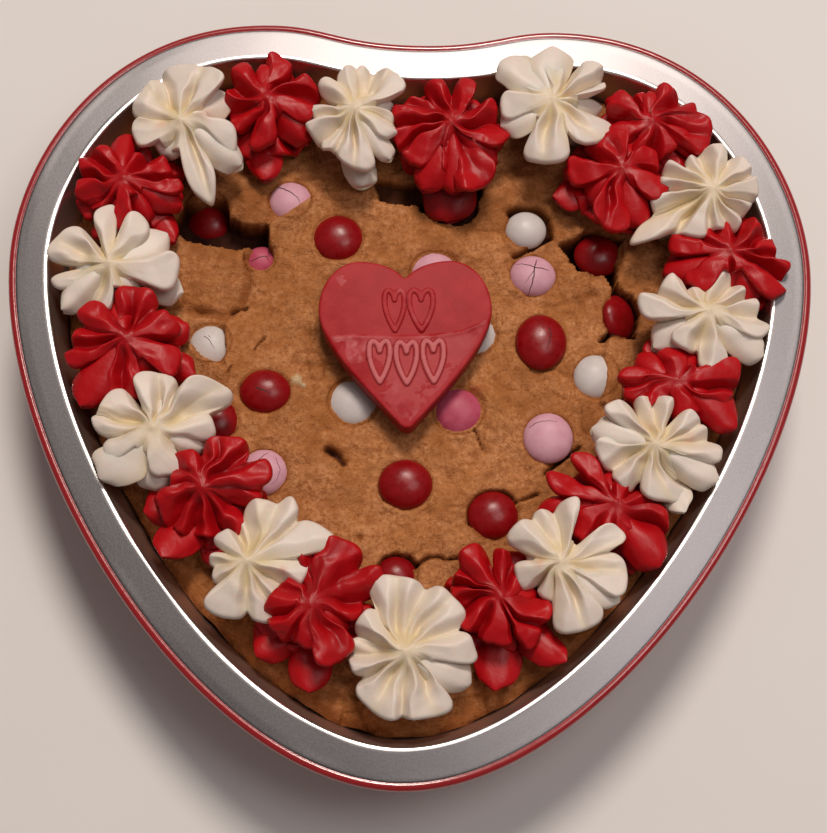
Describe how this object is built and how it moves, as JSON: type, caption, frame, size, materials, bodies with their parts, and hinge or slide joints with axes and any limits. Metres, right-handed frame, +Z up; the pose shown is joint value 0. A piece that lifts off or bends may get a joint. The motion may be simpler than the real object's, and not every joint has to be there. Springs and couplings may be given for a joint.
{
  "type": "cookie cake in a heart-shaped tin",
  "caption": "Thick heart-shaped cookie in its baking tin, bordered with piped icing rosettes and dotted with sugar-shell candies round a moulded candy heart.",
  "frame": {"origin": "under the middle of the tin, on the surface it stands on", "axes": "+Z up, +Y towards the heart's notch, -Y towards its tip, +X to the right"},
  "size_m": [0.2038, 0.197, 0.0437],
  "materials": {
    "tin": "satin sheet metal with a red enamelled rolled edge",
    "crumb": "baked cookie crumb, matte and grainy",
    "cast_candy": "cast candy with a faint pale bloom",
    "cream_icing": "piped cream icing, softly glossy",
    "red_icing": "piped red icing, glossy",
    "red_shell": "polished sugar shell",
    "pink_shell": "satin sugar shell",
    "white_shell": "satin sugar shell"
  },
  "bodies": {
    "root": {"candy_heart": "cast_candy", "candy_pink_01": "pink_shell", "candy_pink_02": "pink_shell", "candy_pink_03": "pink_shell", "candy_pink_04": "pink_shell", "candy_pink_05": "pink_shell", "candy_pink_06": "pink_shell", "candy_pink_07": "pink_shell", "candy_red_01": "red_shell", "candy_red_02": "red_shell", "candy_red_03": "red_shell", "candy_red_04": "red_shell", "candy_red_05": "red_shell", "candy_red_06": "red_shell", "candy_red_07": "red_shell", "candy_red_08": "red_shell", "candy_red_09": "red_shell", "candy_red_10": "red_shell", "candy_white_01": "white_shell", "candy_white_02": "white_shell", "candy_white_03": "white_shell", "candy_white_04": "white_shell", "candy_white_05": "white_shell", "cookie": "crumb", "heart_tin": "tin", "rosette_red_01": "red_icing", "rosette_red_02": "red_icing", "rosette_red_03": "red_icing", "rosette_red_04": "red_icing", "rosette_red_05": "red_icing", "rosette_red_06": "red_icing", "rosette_red_07": "red_icing", "rosette_red_08": "red_icing", "rosette_red_09": "red_icing", "rosette_red_10": "red_icing", "rosette_red_11": "red_icing", "rosette_red_12": "red_icing", "rosette_white_01": "cream_icing", "rosette_white_02": "cream_icing", "rosette_white_03": "cream_icing", "rosette_white_04": "cream_icing", "rosette_white_05": "cream_icing", "rosette_white_06": "cream_icing", "rosette_white_07": "cream_icing", "rosette_white_08": "cream_icing", "rosette_white_09": "cream_icing", "rosette_white_10": "cream_icing", "rosette_white_11": "cream_icing"}
  },
  "joints": []
}
